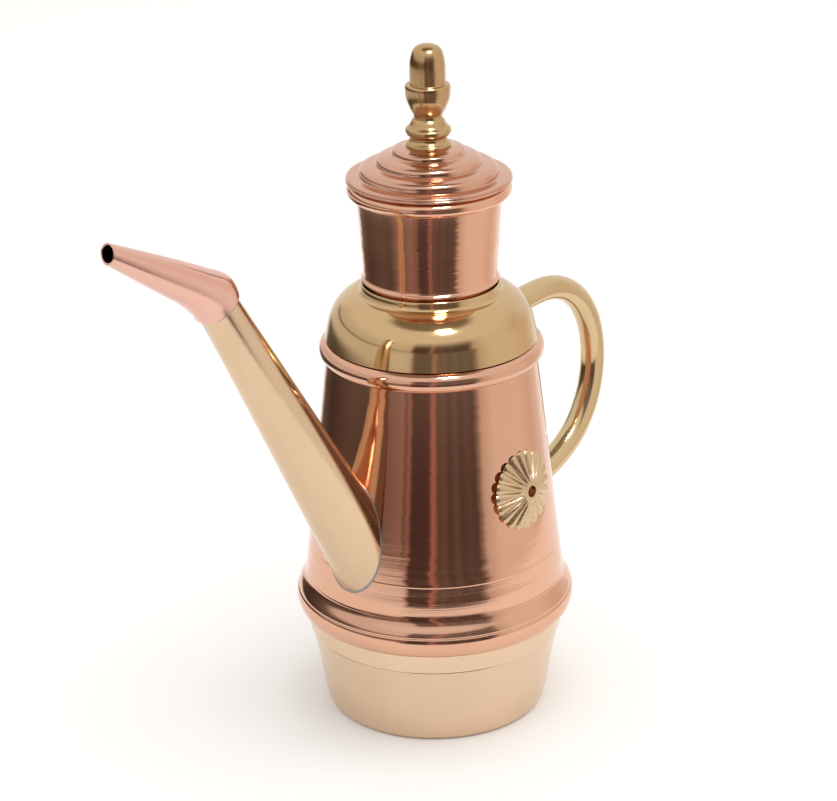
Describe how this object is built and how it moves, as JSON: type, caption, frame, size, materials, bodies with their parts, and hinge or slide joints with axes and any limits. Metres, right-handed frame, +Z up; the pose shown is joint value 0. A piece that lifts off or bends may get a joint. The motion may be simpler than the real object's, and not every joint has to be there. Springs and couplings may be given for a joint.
{
  "type": "coffee pot",
  "caption": "Tapered copper pot with a brass base, shoulder, tube handle and long straight spout, beaded seams, side rosettes and a stepped lift-off lid with a turned knob.",
  "frame": {"origin": "centre of the flat base, on the plane that the pot stands on", "axes": "+Z up along the pot's axis, -X towards the spout, +X towards the handle, Y across"},
  "size_m": [0.2948, 0.12, 0.2939],
  "materials": {
    "copper_body": "polished copper sheet with fine turning lines",
    "copper_neck": "polished copper sheet with fine turning lines",
    "copper_lid": "polished spun copper",
    "copper_spout_tip": "polished copper sheet",
    "brass_base": "polished brass sheet, softly brushed",
    "brass_dome": "polished brass sheet",
    "brass_spout": "polished brass tube",
    "brass_handle": "polished brass tube",
    "brass_rosette": "stamped brass, satin",
    "brass_finial": "turned brass",
    "tin_solder": "dull tin solder",
    "iron_wire": "plain drawn wire",
    "brass_fastener": "plain turned brass"
  },
  "bodies": {
    "pot": {"base_cup": "brass_base", "base_seam_solder": "tin_solder", "foot_bead_wire": "iron_wire", "body_shell": "copper_body", "upper_bead_wire": "iron_wire", "shoulder_dome": "brass_dome", "shoulder_seam_solder": "tin_solder", "neck_shell": "copper_neck", "neck_seam_solder": "tin_solder", "rim_bead_wire": "iron_wire", "spout_tube": "brass_spout", "spout_root_solder": "tin_solder", "spout_tip": "copper_spout_tip", "spout_tip_solder": "tin_solder", "handle_tube": "brass_handle", "handle_top_solder": "tin_solder", "handle_bottom_solder": "tin_solder", "rosette_right": "brass_rosette", "rosette_left": "brass_rosette"},
    "lid": {"lid_cover": "copper_lid", "lid_skirt": "copper_lid", "lid_skirt_solder": "tin_solder", "finial": "brass_finial", "finial_stud": "brass_fastener", "finial_washer": "brass_fastener", "finial_nut": "brass_fastener"}
  },
  "joints": [
    {"name": "lid_lift", "type": "slide", "parent": "pot", "child": "lid", "axis": [0, 0, 1], "range_m": [0, 0.06]}
  ]
}
